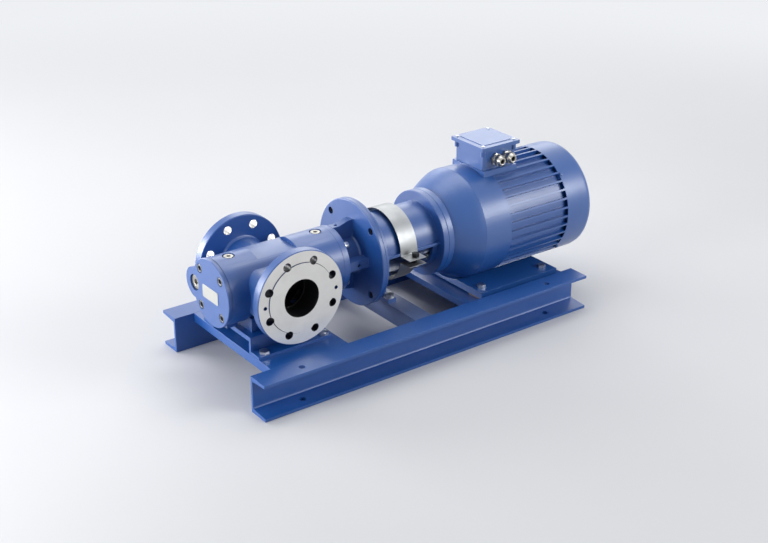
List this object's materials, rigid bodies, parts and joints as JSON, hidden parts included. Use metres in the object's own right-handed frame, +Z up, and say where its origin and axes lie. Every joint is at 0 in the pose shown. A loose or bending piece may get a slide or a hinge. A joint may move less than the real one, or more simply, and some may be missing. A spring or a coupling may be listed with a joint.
{
  "type": "screw pump",
  "caption": "Horizontal screw pump with opposed flanged side ports, driven through a guarded coupling by a finned electric motor, all on a low channel base.",
  "frame": {"origin": "on the floor plane under the base, midway along the whole set and midway between the two beams", "axes": "+X along the shaft from the pump to the motor, +Y to the rear port, +Z up"},
  "size_m": [0.934, 0.406, 0.3795],
  "materials": {
    "base_paint": "satin blue paint",
    "member_paint": "pale blue-grey paint",
    "pump_paint": "satin blue paint on cast iron",
    "motor_paint": "satin blue paint on cast iron",
    "zinc": "zinc plated",
    "stainless": "brushed stainless sheet",
    "bearing_steel": "ground",
    "shaft_steel": "ground",
    "spring_steel": "oiled wire",
    "shim_steel": "rolled sheet",
    "bronze": "turned bearing bronze",
    "copper": "varnished winding",
    "laminations": "stacked sheet",
    "hub_iron": "machined",
    "seal_carbon": "lapped",
    "spider": "moulded",
    "rubber": "moulded",
    "black_plastic": "moulded",
    "nickel": "nickel plated",
    "plate": "plain"
  },
  "bodies": {
    "frame": {"front_beam": "base_paint", "rear_beam": "base_paint", "pump_cross_plate": "base_paint", "middle_cross_member": "member_paint", "motor_cross_bars": "base_paint", "pump_foot_bracket": "base_paint", "pump_foot_bolts": "zinc", "pump_foot_screws": "zinc", "pump_housing": "pump_paint", "screw_liner": "bronze", "thrust_bridge": "bronze", "end_cover": "pump_paint", "barrel_o_rings": "rubber", "end_cover_screws": "zinc", "nameplate": "plate", "relief_valve_plug": "nickel", "relief_valve_spring": "spring_steel", "top_plugs": "nickel", "drive_bracket": "pump_paint", "drive_bracket_screws": "zinc", "shaft_seal_seat": "seal_carbon", "pump_bearing_outer": "bearing_steel", "pump_bearing_clip": "spring_steel", "coupling_lantern": "pump_paint", "lantern_foot_bolts": "zinc", "lantern_flange_screws": "zinc", "lantern_motor_screws": "zinc", "guard_band": "stainless", "guard_band_bolt": "zinc", "motor_drive_shield": "motor_paint", "motor_frame": "motor_paint", "motor_feet": "motor_paint", "motor_foot_shims": "shim_steel", "motor_foot_bolts": "zinc", "stator_core": "laminations", "stator_windings": "copper", "front_bearing_outer": "bearing_steel", "rear_bearing_outer": "bearing_steel", "motor_rear_shield": "motor_paint", "fan_cowl": "motor_paint", "fan_cowl_screws": "zinc", "terminal_box": "motor_paint", "terminal_lid": "motor_paint", "terminal_lid_screws": "zinc", "terminal_block": "black_plastic", "cable_glands": "nickel"},
    "motor_rotor": {"rotor_core": "laminations", "motor_shaft": "shaft_steel", "cooling_fan": "black_plastic", "motor_coupling_hub": "hub_iron", "front_bearing_inner": "bearing_steel", "rear_bearing_inner": "bearing_steel"},
    "pump_rotor": {"drive_screw": "shaft_steel", "pump_coupling_hub": "hub_iron", "coupling_spider": "spider", "shaft_seal_head": "shaft_steel", "pump_bearing_inner": "bearing_steel"},
    "front_idler": {"idler_screw_front": "shaft_steel"},
    "rear_idler": {"idler_screw_rear": "shaft_steel"},
    "relief_piston": {"relief_valve_piston": "shaft_steel"}
  },
  "joints": [
    {"name": "motor_spin", "type": "hinge", "parent": "frame", "child": "motor_rotor", "pos_m": [0, 0, 0.197], "axis": [1, 0, 0], "continuous": true},
    {"name": "drive_screw_spin", "type": "hinge", "parent": "frame", "child": "pump_rotor", "pos_m": [0, 0, 0.197], "axis": [1, 0, 0], "continuous": true},
    {"name": "front_idler_spin", "type": "hinge", "parent": "frame", "child": "front_idler", "pos_m": [0, -0.03, 0.197], "axis": [1, 0, 0], "continuous": true},
    {"name": "rear_idler_spin", "type": "hinge", "parent": "frame", "child": "rear_idler", "pos_m": [0, 0.03, 0.197], "axis": [1, 0, 0], "continuous": true},
    {"name": "relief_valve_lift", "type": "slide", "parent": "frame", "child": "relief_piston", "axis": [-1, 0, 0], "range_m": [0, 0.005], "stiffness_N_per_m": 1500, "springref_m": -0.002}
  ],
  "couplings": [
    {"joint": "drive_screw_spin", "follows": "motor_spin", "ratio": 1},
    {"joint": "front_idler_spin", "follows": "motor_spin", "ratio": -1},
    {"joint": "rear_idler_spin", "follows": "motor_spin", "ratio": -1}
  ]
}
